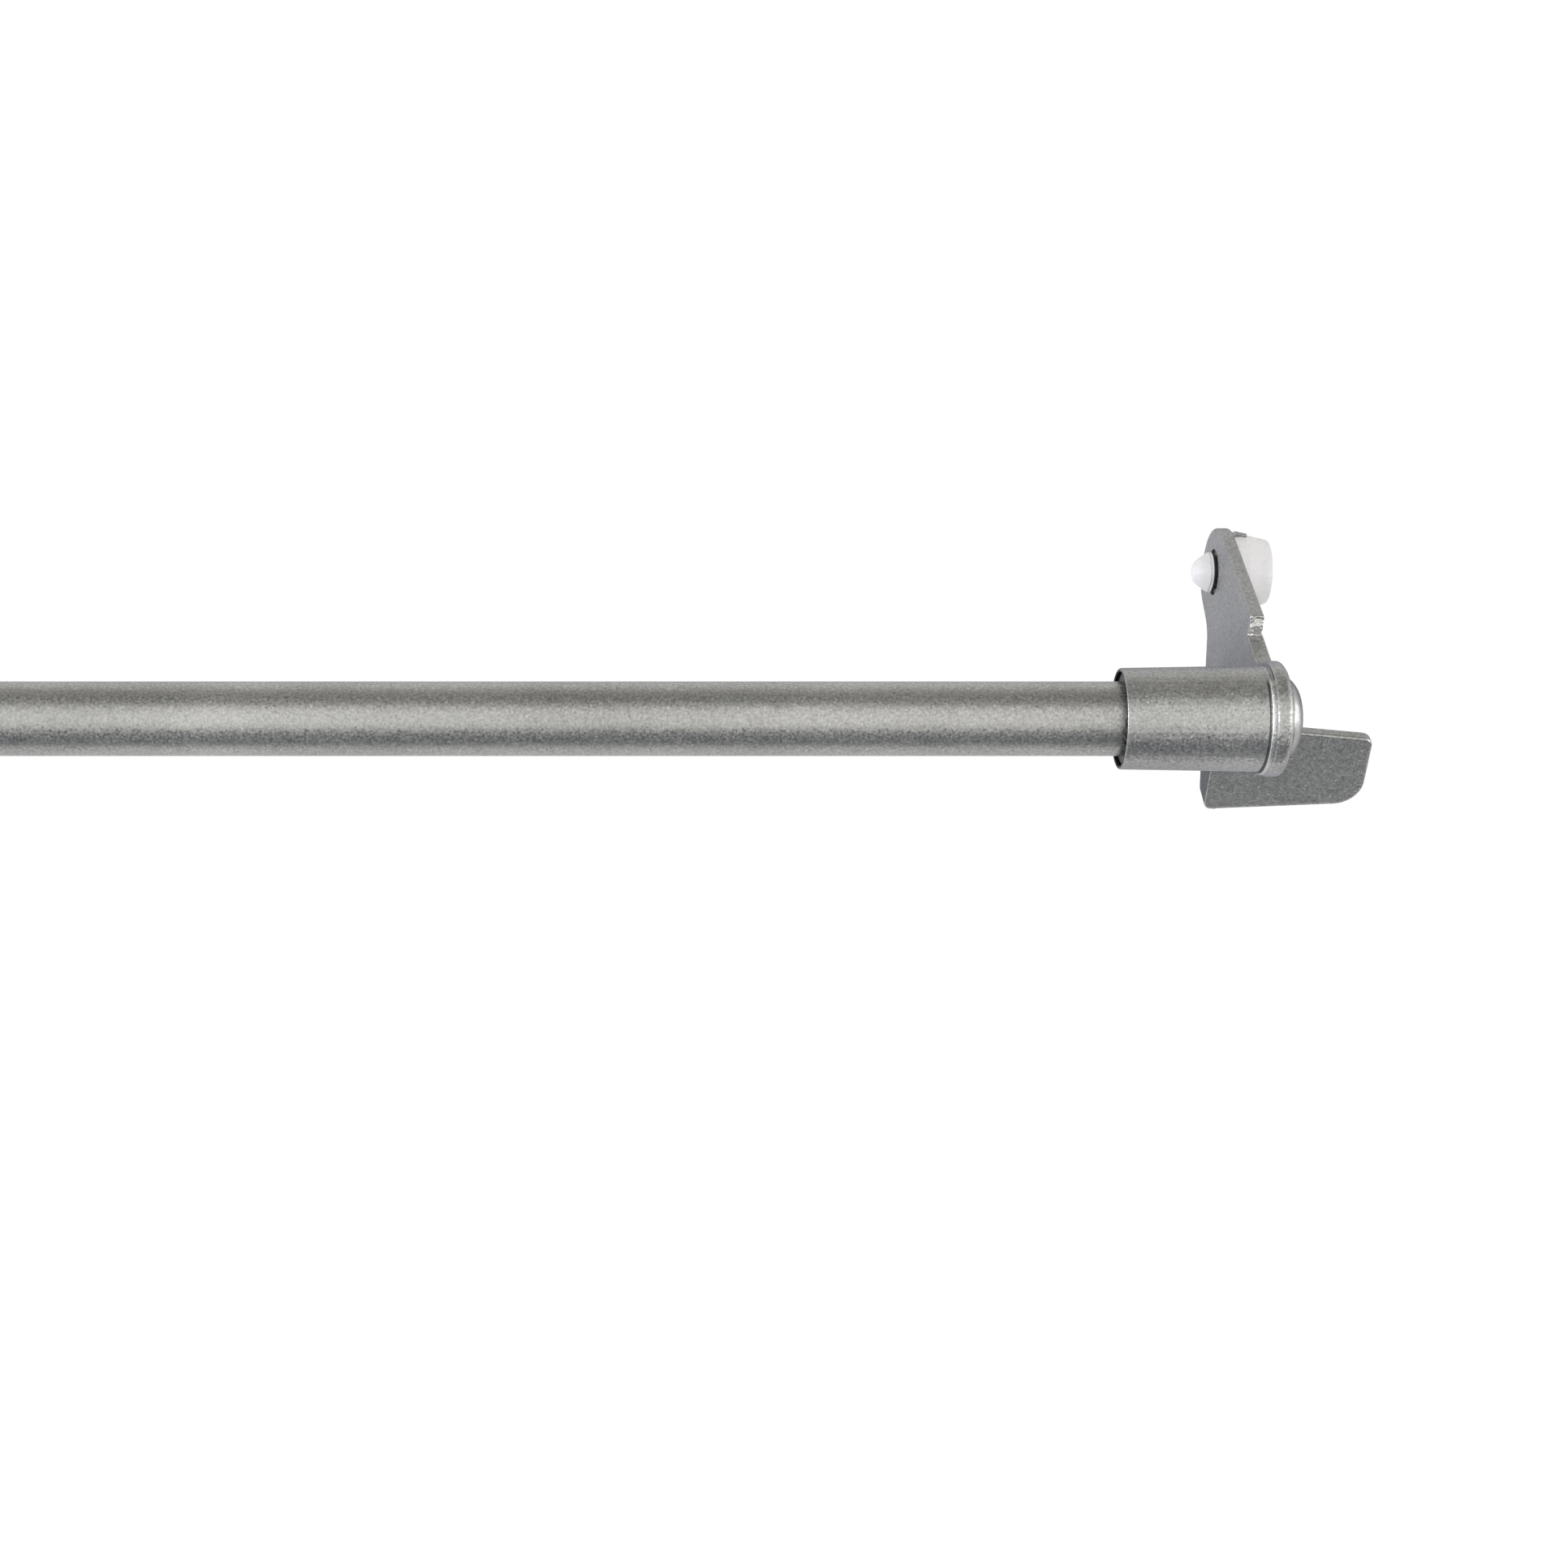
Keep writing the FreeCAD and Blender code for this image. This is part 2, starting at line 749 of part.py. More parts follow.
def make_adapter():
    """Ring that fills the socket's bore around the thin tube, set a little into its mouth."""
    body = new_body("socket_adapter", "right_web")
    revolve(
        body,
        "adapter_form",
        [
            ("adapter_set_in - socket_length", "inner_tube_radius + seat_gap"),
            ("adapter_set_in - socket_length", "adapter_radius", "adapter_round"),
            ("0 - tube_setback - adapter_end_gap", "adapter_radius"),
            ("0 - tube_setback - adapter_end_gap", "inner_tube_radius + seat_gap"),
        ],
    )
    return body


# Tubes and the guide ring


def make_tube(name, along, outside, inside, length):
    """A plain drawn tube that starts at the place given."""
    body = new_body(name, along)
    ring = new_sketch(body, "YZ_Plane", "tube_section")
    draw_circle(ring, outside)
    draw_circle(ring, inside)
    pad(body, "tube_wall", ring, length)
    return body


def make_guide():
    """Moulded ring on the thick tube's mouth, with a liner that centres the thin tube."""
    body = new_body("outer_tube_guide", "outer_tube_mouth")
    revolve(
        body,
        "guide_form",
        [
            ("0 - guide_liner_length", "guide_bore"),
            ("0 - guide_liner_length", "outer_tube_bore - seat_gap"),
            ("0", "outer_tube_bore - seat_gap"),
            ("0", "guide_lip_radius"),
            ("guide_lip", "guide_lip_radius", "guide_round"),
            ("guide_lip", "guide_bore"),
        ],
    )
    return body


# Twist lock, measured from the open end of the split sleeve


def slot_pattern(body, name, feature):
    """Repeats a feature evenly round the rod axis."""
    pattern = body.newObject("PartDesign::PolarPattern", name)
    pattern.Originals = [feature]
    pattern.Axis = (origin_part(body, "X_Axis"), [""])
    pattern.Angle = 360
    pattern.Occurrences = SLOT_COUNT
    body.Tip = pattern
    doc.recompute()
    return pattern


def make_lock_sleeve():
    """Split sleeve: three fingers round a conical mouth, joined by a collar at the far end."""
    body = new_body("lock_sleeve", "lock_place")
    revolve(
        body,
        "sleeve_form",
        [
            ("0", "sleeve_mouth"),
            ("0", "sleeve_radius"),
            ("sleeve_length", "sleeve_radius"),
            ("sleeve_length", "thread_hole"),
            ("sleeve_length - sleeve_collar", "thread_hole"),
            ("sleeve_length - sleeve_collar", "sleeve_throat"),
            ("sleeve_taper_length", "sleeve_throat"),
        ],
    )
    slot = new_sketch(body, "XY_Plane", "slot_outline", "0 - sleeve_slot_width / 2")
    draw_outline(
        slot,
        [
            ("0 - overrun", "0"),
            ("sleeve_slot_length", "0"),
            ("sleeve_slot_length", "sleeve_radius + overrun"),
            ("0 - overrun", "sleeve_radius + overrun"),
        ],
    )
    cut = pocket(body, "slot", slot, "sleeve_slot_width", reverse=True)
    slot_pattern(body, "slots", cut)
    return body


def make_lock_wedge():
    """Cone nut: its cone enters the sleeve's mouth and its keys run in the sleeve's slots."""
    body = new_body("lock_wedge", "lock_place")
    revolve(
        body,
        "wedge_form",
        [
            ("wedge_nose - wedge_length", "thread_hole"),
            ("wedge_nose - wedge_length", "wedge_back_radius"),
            ("0 - cone_back", "wedge_back_radius"),
            ("wedge_nose", "cone_nose"),
            ("wedge_nose", "thread_hole"),
        ],
    )
    key = new_sketch(body, "XY_Plane", "key_outline", "square_gap - sleeve_slot_width / 2")
    draw_outline(
        key,
        [
            ("wedge_nose - wedge_length", "cone_nose - square_gap"),
            ("wedge_nose - wedge_key_setback", "cone_nose - square_gap"),
            ("wedge_nose - wedge_key_setback", "wedge_key_radius"),
            ("wedge_nose - wedge_length", "wedge_key_radius"),
        ],
    )
    rib = pad(body, "key", key, "sleeve_slot_width - 2 * square_gap")
    slot_pattern(body, "keys", rib)
    return body


def make_lock_spindle():
    """Spindle: threaded part through nut and sleeve, shoulder, square shank and riveted end."""
    body = new_body("lock_spindle", "lock_place")
    revolve(
        body,
        "spindle_turning",
        [
            ("spindle_end", "0"),
            ("spindle_end", "thread_radius"),
            ("clip_outer", "thread_radius"),
            ("clip_outer", "clip_groove_radius"),
            ("clip_face", "clip_groove_radius"),
            ("clip_face", "thread_radius"),
            ("shoulder_face", "thread_radius"),
            ("shoulder_face", "shoulder_radius"),
            ("shank_start", "shoulder_radius"),
            ("shank_start", "shank_end_radius"),
            ("piston_bottom", "shank_end_radius"),
            ("piston_bottom", "rivet_radius"),
            ("piston_bottom + rivet_length", "rivet_radius"),
            ("piston_bottom + rivet_length", "0"),
        ],
    )
    shank = new_sketch(body, "YZ_Plane", "shank_section", "shank_start")
    half = "shank_width / 2"
    draw_outline(
        shank,
        [
            ("0 - " + half, "0 - " + half),
            (half, "0 - " + half),
            (half, half),
            ("0 - " + half, half),
        ],
    )
    pad(body, "square_shank", shank, "piston_face - shank_start")
    return body


def make_end_clip():
    """Open clip that snaps into the groove at the spindle's end and holds the cone nut on."""
    body = new_body("lock_end_clip", "lock_place")
    ring = new_sketch(body, "YZ_Plane", "clip_section", "clip_outer + seat_gap")
    draw_circle(ring, "clip_radius")
    draw_circle(ring, "clip_groove_radius + seat_gap")
    pad(body, "clip_ring", ring, "clip_thickness - 2 * seat_gap")
    mouth = new_sketch(body, "YZ_Plane", "clip_mouth_outline", "clip_outer")
    draw_outline(
        mouth,
        [
            ("0 - clip_mouth / 2", "0 - clip_radius - overrun"),
            ("clip_mouth / 2", "0 - clip_radius - overrun"),
            ("clip_mouth / 2", "0"),
            ("0 - clip_mouth / 2", "0"),
        ],
    )
    pocket(body, "clip_mouth", mouth, "clip_thickness", reverse=True)
    return body


def make_piston():
    """Cup on the spindle's riveted end that the spring pushes against."""
    body = new_body("spindle_piston", "lock_place")
    revolve(
        body,
        "piston_form",
        [
            ("piston_face", "shank_end_radius + seat_gap"),
            ("piston_face", "piston_radius"),
            ("piston_bottom", "piston_radius"),
            ("piston_bottom", "piston_hub_radius"),
            ("piston_bottom + piston_hub", "piston_hub_radius"),
            ("piston_bottom + piston_hub", "rivet_radius + turn_gap"),
            ("piston_bottom", "rivet_radius + turn_gap"),
            ("piston_bottom", "shank_end_radius + seat_gap"),
        ],
    )
    return body


def make_bush():
    """Bush in the thin tube's inner end, with a square hole that turns the spindle."""
    body = new_body("inner_tube_bush", "lock_place")
    revolve(
        body,
        "bush_form",
        [
            ("bush_face", "0"),
            ("bush_face", "inner_tube_radius - turn_gap"),
            ("bush_face + bush_flange", "inner_tube_radius - turn_gap"),
            ("bush_face + bush_flange", "inner_tube_bore - seat_gap"),
            ("bush_end", "inner_tube_bore - seat_gap"),
            ("bush_end", "0"),
        ],
    )
    square = new_sketch(body, "YZ_Plane", "square_hole_section", "bush_face")
    half = "(shank_width / 2 + square_gap)"
    draw_outline(
        square,
        [
            ("0 - " + half, "0 - " + half),
            (half, "0 - " + half),
            (half, half),
            ("0 - " + half, half),
        ],
    )
    pocket(body, "square_hole", square, "bush_flange + bush_length", reverse=True)
    return body


def make_spring():
    """Compression spring between the piston and its seat in the thin tube."""
    coil = doc.addObject("Part::Helix", "spring_line")
    coil.setExpression("Radius", bound("spring_mean_radius"))
    coil.setExpression("Pitch", bound("spring_pitch"))
    coil.setExpression("Height", bound("spring_length - 2 * spring_wire"))
    wire = doc.addObject("Part::Circle", "spring_wire_section")
    wire.setExpression("Radius", bound("spring_wire"))
    across = FreeCAD.Rotation(FreeCAD.Vector(1, 0, 0), 90)
    wire.Placement = FreeCAD.Placement(FreeCAD.Vector(0, 0, 0), across)
    wire.setExpression(".Placement.Base.x", bound("spring_mean_radius"))
    doc.recompute()
    spring = doc.addObject("Part::Sweep", "tension_spring")
    spring.Label = "tension_spring"
    spring.Sections = [wire]
    spring.Spine = (coil, ["Edge1"])
    spring.Solid = True
    spring.Frenet = True
    along = FreeCAD.Rotation(FreeCAD.Vector(0, 1, 0), 90)
    spring.Placement = FreeCAD.Placement(FreeCAD.Vector(0, 0, 0), along)
    spring.setExpression(".Placement.Base.x", bound("lock_place + spring_start + spring_wire"))
    spring.setExpression(".Placement.Base.y", bound("0 - stand_off"))
    spring.setExpression(".Placement.Base.z", bound("axis_rise"))
    doc.recompute()
    return spring


def make_spring_seat():
    """Plug fixed inside the thin tube, with a pin that keeps the spring's end centred."""
    body = new_body("spring_seat", "lock_place")
    revolve(
        body,
        "seat_form",
        [
            ("seat_face - spring_seat_pin_length", "0"),
            ("seat_face - spring_seat_pin_length", "spring_seat_pin", "seat_pin_round"),
            ("seat_face", "spring_seat_pin"),
            ("seat_face", "inner_tube_bore - seat_gap"),
            ("seat_face + spring_seat_length", "inner_tube_bore - seat_gap"),
            ("seat_face + spring_seat_length", "0"),
        ],
    )
    return body


# The whole rod


def make_end_pieces(side, along, turned):
    """The turned and moulded pieces that both ends have."""
    return [
        make_bumper(side + "_bumper", along, turned),
        make_pivot_screw(side + "_pivot_screw", along, turned),
        make_thrust_washer(side + "_thrust_washer", along, turned),
    ]


right_bracket = make_bracket()
pieces = [right_bracket, mirror(right_bracket, "left_bracket")]
pieces += make_end_pieces("right", "right_web", False)
pieces += make_end_pieces("left", "pad_reach", True)
pieces += [
    make_tube_plug(
        "right_tube_plug", "right_web", False, "inner_tube_radius", "inner_tube_bore"
    ),
    make_tube_plug("left_tube_plug", "pad_reach", True, "outer_tube_radius", "outer_tube_bore"),
    make_adapter(),
    make_tube(
        "outer_tube",
        "outer_tube_start",
        "outer_tube_radius",
        "outer_tube_bore",
        "outer_tube_length",
    ),
    make_tube(
        "inner_tube",
        "inner_tube_start",
        "inner_tube_radius",
        "inner_tube_bore",
        "inner_tube_length",
    ),
    make_guide(),
    make_lock_sleeve(),
    make_lock_wedge(),
    make_lock_spindle(),
    make_end_clip(),
    make_piston(),
    make_bush(),
    make_spring(),
    make_spring_seat(),
]
doc.recompute()

for item in doc.Objects:
    if "Invalid" in item.State or "Error" in item.State:
        raise ValueError(item.Name + " failed: " + str(item.State))
for piece in pieces:
    if piece.Shape.isNull() or not piece.Shape.isValid() or len(piece.Shape.Solids) != 1:
        raise ValueError(piece.Label + " has no single valid solid")

os.makedirs("parts", exist_ok=True)
for piece in pieces:
    piece.Shape.exportStep("parts/" + piece.Label + ".step")
    box = piece.Shape.BoundBox
    print(
        piece.Label,
        f"X {box.XMin:.2f} to {box.XMax:.2f},",
        f"Y {box.YMin:.2f} to {box.YMax:.2f},",
        f"Z {box.ZMin:.2f} to {box.ZMax:.2f},",
        f"{piece.Shape.Volume:.1f} mm3",
    )
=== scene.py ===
import json
import math

import bmesh
import bpy
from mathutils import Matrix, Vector, noise


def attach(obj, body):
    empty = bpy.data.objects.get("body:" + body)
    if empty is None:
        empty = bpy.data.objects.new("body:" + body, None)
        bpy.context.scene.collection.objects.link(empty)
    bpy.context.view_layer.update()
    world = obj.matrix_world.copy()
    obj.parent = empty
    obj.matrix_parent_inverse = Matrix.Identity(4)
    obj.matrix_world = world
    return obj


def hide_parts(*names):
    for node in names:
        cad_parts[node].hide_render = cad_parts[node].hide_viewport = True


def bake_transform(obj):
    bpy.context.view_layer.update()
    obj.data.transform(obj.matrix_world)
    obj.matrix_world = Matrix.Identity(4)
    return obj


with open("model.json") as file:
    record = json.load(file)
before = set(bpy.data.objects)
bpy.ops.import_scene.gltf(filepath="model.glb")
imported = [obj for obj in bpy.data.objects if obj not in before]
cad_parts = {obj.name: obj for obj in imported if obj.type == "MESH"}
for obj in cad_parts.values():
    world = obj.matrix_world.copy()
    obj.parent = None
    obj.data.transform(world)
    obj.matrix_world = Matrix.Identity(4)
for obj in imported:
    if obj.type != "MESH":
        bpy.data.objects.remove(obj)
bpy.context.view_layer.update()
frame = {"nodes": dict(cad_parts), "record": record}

# Camera: 40 degrees above the horizon, looking along +Y at the right-hand end of the rod
IMAGE_SIDE = 1932
FOCAL_PIXELS = 2300.0
SENSOR = 36.0
ELEVATION = math.radians(40)
AIM = Vector((0.48786, -0.0213, 0.0248))
DISTANCE = 0.250
DROP = 0.00874

scene = bpy.context.scene
scene.view_settings.view_transform = "Standard"

back = Vector((0, -math.cos(ELEVATION), math.sin(ELEVATION)))
upward = Vector((0, math.sin(ELEVATION), math.cos(ELEVATION)))

camera_data = bpy.data.cameras.new("camera")
camera_data.sensor_width = SENSOR
camera_data.lens = FOCAL_PIXELS / IMAGE_SIDE * SENSOR
camera_data.clip_start = 0.005
camera_data.clip_end = 20
camera = bpy.data.objects.new("camera", camera_data)
camera.location = AIM + back * DISTANCE - upward * DROP
camera.rotation_euler = (math.pi / 2 - ELEVATION, 0, 0)
scene.collection.objects.link(camera)
bpy.context.scene.camera = camera


# Node helpers


class Graph:
    """A short way to add and join the nodes of one tree."""

    def __init__(self, tree):
        self.tree = tree
        tree.nodes.clear()

    def add(self, kind, settings=None, **inputs):
        node = self.tree.nodes.new(kind)
        for key, setting in (settings or {}).items():
            setattr(node, key, setting)
        for name, source in inputs.items():
            self.feed(node, name.replace("_", " "), source)
        return node

    def feed(self, node, socket, source):
        """Joins an input to another node's output, or sets it to a plain value."""
        if isinstance(source, bpy.types.NodeSocket):
            self.tree.links.new(source, node.inputs[socket])
        else:
            node.inputs[socket].default_value = source

    def math(self, operation, *sources, clamp=False):
        """One step of arithmetic on numbers."""
        node = self.add("ShaderNodeMath", {"operation": operation, "use_clamp": clamp})
        for index, source in enumerate(sources):
            self.feed(node, index, source)
        return node.outputs[0]

    def vector(self, operation, *sources, scale=None):
        """One step of arithmetic on vectors or colours."""
        node = self.add("ShaderNodeVectorMath", {"operation": operation})
        for index, source in enumerate(sources):
            self.feed(node, index, source)
        if scale is not None:
            self.feed(node, "Scale", scale)
        return node.outputs[0]

    def mix(self, share, first, second):
        """A colour between two others."""
        node = self.add("ShaderNodeMix", {"data_type": "RGBA"})
        for index, source in ((0, share), (6, first), (7, second)):
            self.feed(node, index, source)
        return node.outputs[2]

    def span(self, value, low, high, to_low=0.0, to_high=1.0):
        """A value between low and high eased onto a new range."""
        node = self.add("ShaderNodeMapRange", {"interpolation_type": "SMOOTHSTEP"})
        for index, source in enumerate((value, low, high, to_low, to_high)):
            self.feed(node, index, source)
        return node.outputs[0]

    def noise(self, place, scale, detail=2.0):
        """Soft noise from 0 to 1."""
        node = self.add("ShaderNodeTexNoise", Vector=place, Scale=scale, Detail=detail)
        return node.outputs["Fac"]

    def parts(self, place):
        """The three coordinates of a place."""
        return self.add("ShaderNodeSeparateXYZ", Vector=place).outputs

    def straight(self):
        """Whether a ray comes straight from the camera or through clear plastic."""
        path = self.add("ShaderNodeLightPath").outputs
        return self.math("MAXIMUM", path["Is Camera Ray"], path["Is Transmission Ray"])

    def shaders(self, share, first, second):
        """A surface or background between two others."""
        node = self.add("ShaderNodeMixShader", Fac=share)
        self.feed(node, 1, first)
        self.feed(node, 2, second)
        return node.outputs[0]

    def grain(self, height, distance):
        """A surface normal turned by fine relief."""
        bump = self.add("ShaderNodeBump", Strength=1.0, Distance=distance, Height=height)
        return bump.outputs["Normal"]


def new_material(name):
    """An empty node material and its graph."""
    material = bpy.data.materials.new(name)
    material.use_nodes = True
    return material, Graph(material.node_tree)


def grey(level, warm=0.0):
    """A grey colour, which may lean a little to red or blue."""
    return (level * (1 + warm), level, level * (1 - warm), 1.0)


# Places on the part that the pieces and materials share. The two ends mirror each other, so many
# are given as distances from the rod's middle.

SPAN = 0.560
AXIS_Y = -0.0213
AXIS_Z = 0.0248
# Where a bumper's neck is in the arm, from the rod's middle
NECK_START = 0.27170
NECK_END = 0.27412
# Ends of the spring's free coils
SEAT_FACE = 0.3204
# Torn patch left by the casting's gate, on the step of the right-hand arm
GATE_LOW = (0.5522, -0.0082, 0.0278)
GATE_HIGH = (0.5540, -0.0058, 0.0312)
GATE_FADE = 0.0003
# Direction, square to the rod, in which the arm's root rises
RISE_Y = 0.643
RISE_Z = 0.766


# Materials

COOL_EDGE = (0.59, 0.60, 0.67, 1.0)
LILAC_HAZE = (0.965, 0.95, 0.99, 1.0)
LILAC_WHITE = (1.0, 0.985, 1.0, 1.0)
# Tones of the painted highlight on ridges and rims, the painted shade in creases, the painted
# highlight on the collar's bead, the painted shade in holes, and the torn gate, lighter as bare
# metal and as a painted highlight
PAINTED_EDGE_HIGHLIGHT = grey(0.75)
PAINTED_CREASE_SHADE = grey(0.10)
PAINTED_BEAD_HIGHLIGHT = grey(0.60)
PAINTED_HOLE_SHADE = grey(0.03)
TORN_METAL_AND_HIGHLIGHT = grey(0.62, 0.01)
# How far smoothing moved the casting's surface, inward on ridges and outward in creases, and how
# strongly the painted highlight on ridges and the painted shade in creases change the tone there
RIDGE = (-0.000028, -0.000012)
CREASE = (0.000010, 0.000026)
RIDGE_HIGHLIGHT_SHARE = 0.7
CREASE_SHADE_SHARE = 0.8
# Rings round the rod, between two distances from its middle: painted shade in the collar's groove
# and the socket's bore, painted highlight on the collar's bead and the mouth's rim, and a band on
# the collar left without the painted ridge highlight
COLLAR_CREASE = (0.27112, 0.27142)
COLLAR_BEAD = (0.27146, 0.27182)
COLLAR_BAND = (0.27190, 0.27600)
MOUTH_RIM = (0.25120, 0.25145)
SOCKET_BORE = (0.25140, 0.26800)
RING_FADE = 0.00004
# How far from the axis the rings and the bore reach, and the rise at which the rings fade out
RING_REACH = 0.0092
BORE_REACH = 0.00645
RING_TOP = 0.0042
RING_TOP_FADE = 0.001
# How squarely a surface faces along the rod to count as one of the casting's flat sides, the rise
# over which painted shade darkens those towards the foot and lightens them a little high up, and
# by how much
SIDE_FACING = (0.75, 0.95)
SIDE_RISE = (-0.008, 0.024)
SIDE_SHADE_DEPTH = (-0.64, 0.065)
# Clouds, grains, flakes and ripples of the paint per metre, how much of the tone the clouds
# give, what stirs the flakes' draws, and the share of flakes that lie flat
CLOUDS = 60.0
GRAIN = 3100.0
FLAKES = 3800.0
RIPPLES = 1100.0
CLOUD_SHARE = 0.4
FLAKE_STIR = 13.7
FLAT_SHARE = 0.45
# Clouds, grain and turning rings of the other finishes per metre, and the depths of fine relief
PLASTIC_CLOUDS = 150.0
PLASTIC_GRAIN = 2500.0
MILKY_CLOUDS = 220.0
MILKY_RIPPLES = 700.0
STEEL_CLOUDS = 200.0
STEEL_RINGS = 900.0
FLOOR_CLOUDS = 30.0
FINE_RELIEF = 0.00001
MILKY_RELIEF = 0.00004
# Range in which most of the soft noise lies
MOST_NOISE = (0.3, 0.7)
# Unevenness of the gloss on moulded plastic and on steel, and the gloss of the clear plastic
PLASTIC_VARY = 0.04
STEEL_VARY = 0.06
MILKY_ROUGH = (0.22, 0.34)


def from_middle(graph, place):
    """Distance along the rod from its middle."""
    offset = graph.math("SUBTRACT", graph.parts(place)[0], SPAN / 2)
    return graph.math("ABSOLUTE", offset)


def from_axis(graph, place):
    """How far back and how far up a place lies from the rod's axis."""
    parts = graph.parts(place)
    return graph.math("SUBTRACT", parts[1], AXIS_Y), graph.math("SUBTRACT", parts[2], AXIS_Z)


def rise_to_arm(graph, back, up):
    """How far a place lies along the direction in which the arm's root rises."""
    return graph.math("MULTIPLY_ADD", back, RISE_Y, graph.math("MULTIPLY", up, RISE_Z))


def torn_patch(graph, place):
    """How far a place lies in the torn patches on the two arms, from 0 to 1."""
    parts = graph.parts(place)
    share = None
    for axis, source in enumerate((from_middle(graph, place), parts[1], parts[2])):
        offset = SPAN / 2 if axis == 0 else 0.0
        start = GATE_LOW[axis] - offset
        end = GATE_HIGH[axis] - offset
        after = graph.span(source, start, start + GATE_FADE)
        before = graph.span(source, end - GATE_FADE, end, 1.0, 0.0)
        both = graph.math("MULTIPLY", after, before)
        share = both if share is None else graph.math("MULTIPLY", share, both)
    return share


def ring_mask(graph, place, start, end, reach=RING_REACH, top=RING_TOP):
    """Whether a place near the rod lies between two distances from the rod's middle."""
    distance = from_middle(graph, place)
    back, up = from_axis(graph, place)
    squares = graph.math("MULTIPLY_ADD", back, back, graph.math("MULTIPLY", up, up))
    after = graph.span(distance, start - RING_FADE, start + RING_FADE)
    before = graph.span(distance, end - RING_FADE, end + RING_FADE, 1.0, 0.0)
    near = graph.math("LESS_THAN", squares, reach ** 2)
    below = graph.span(rise_to_arm(graph, back, up), top, top + RING_TOP_FADE, 1.0, 0.0)
    ring = graph.math("MULTIPLY", graph.math("MULTIPLY", after, before), near)
    return graph.math("MULTIPLY", ring, below)


def painted_side_shade(graph, place, normal):
    """Painted shade on the casting's flat sides: darker towards the foot, a little lighter high
    up.
    """
    side = graph.span(graph.math("ABSOLUTE", graph.parts(normal)[0]), *SIDE_FACING)
    rise = rise_to_arm(graph, *from_axis(graph, place))
    return graph.math("MULTIPLY_ADD", side, graph.span(rise, *SIDE_RISE, *SIDE_SHADE_DEPTH), 1.0)


def cast_colour_and_painted_light(graph, place, normal, colour):
    """Casting paint with painted highlights on ridges, bead and rim, and painted shade in
    creases, groove, bore and low sides; the torn gate is lighter.
    """
    moved = graph.add("ShaderNodeAttribute", {"attribute_name": "moved"}).outputs["Fac"]
    # Painted highlight on convex ridges, kept off the collar's band
    ridge_highlight = graph.span(moved, *RIDGE, RIDGE_HIGHLIGHT_SHARE, 0.0)
    edge_highlight = graph.math("SUBTRACT", ridge_highlight, ring_mask(graph, place, *COLLAR_BAND), clamp=True)
    # Painted shade inside the socket's bore
    bore = ring_mask(graph, place, *SOCKET_BORE, BORE_REACH, RING_REACH)
    # Painted shade: the flat sides darken towards the foot
    colour = graph.vector("SCALE", colour, scale=painted_side_shade(graph, place, normal))
    # Painted highlights, painted shade, and the torn gate lighter as bare metal and as a painted
    # highlight
    for share, tone in (
        (edge_highlight, PAINTED_EDGE_HIGHLIGHT),
        (graph.span(moved, *CREASE, 0.0, CREASE_SHADE_SHARE), PAINTED_CREASE_SHADE),
        (ring_mask(graph, place, *COLLAR_CREASE), PAINTED_CREASE_SHADE),
        (ring_mask(graph, place, *COLLAR_BEAD), PAINTED_BEAD_HIGHLIGHT),
        (ring_mask(graph, place, *MOUTH_RIM), PAINTED_EDGE_HIGHLIGHT),
        (torn_patch(graph, place), TORN_METAL_AND_HIGHLIGHT),
        (bore, PAINTED_HOLE_SHADE),
    ):
        colour = graph.mix(share, colour, tone)
    return colour


def metallic_paint(name, low, high, rough, vary, tilt, sparkle, edge, cast=False):
    """Satin metallic paint: fine grains of uneven gloss and tilt, and a few steep flakes."""
    material, graph = new_material(name)
    coordinates = graph.add("ShaderNodeTexCoord").outputs
    place = coordinates["Object"]
    cloud = graph.noise(place, CLOUDS, 3.0)
    grains = graph.add(
        "ShaderNodeTexNoise", Vector=place, Scale=GRAIN, Detail=0.3
    ).outputs["Color"]
    channels = graph.add("ShaderNodeSeparateColor", Color=grains).outputs
    speckle = graph.math("MULTIPLY", channels[0], 1 - CLOUD_SHARE)
    blend = graph.math("MULTIPLY_ADD", cloud, CLOUD_SHARE, speckle)
    colour = graph.mix(blend, low, high)
    if cast:
        colour = cast_colour_and_painted_light(graph, place, coordinates["Normal"], colour)
    roughness = graph.math("MULTIPLY_ADD", channels[2], vary, rough - vary / 2)

    flakes = graph.add(
        "ShaderNodeTexVoronoi", {"feature": "F1"}, Vector=place, Scale=FLAKES
    ).outputs["Color"]
    first = graph.add("ShaderNodeSeparateColor", Color=flakes).outputs[0]
    draw = graph.math("FRACT", graph.math("MULTIPLY", first, FLAKE_STIR))
    steep = graph.span(draw, FLAT_SHARE, 1.0, 0.0, sparkle)

    ripple = graph.grain(graph.noise(place, RIPPLES), FINE_RELIEF)
    middle = (0.5, 0.5, 0.5)
    grain_turn = graph.vector("SCALE", graph.vector("SUBTRACT", grains, middle), scale=tilt)
    flake_turn = graph.vector("SCALE", graph.vector("SUBTRACT", flakes, middle), scale=steep)
    turned = graph.vector("ADD", graph.vector("ADD", ripple, grain_turn), flake_turn)
    shader = graph.add(
        "ShaderNodeBsdfPrincipled",
        Base_Color=colour,
        Roughness=roughness,
        Normal=graph.vector("NORMALIZE", turned),
        Metallic=1.0,
        Specular_Tint=edge,
    )
    graph.add("ShaderNodeOutputMaterial", Surface=shader.outputs[0])
    return material


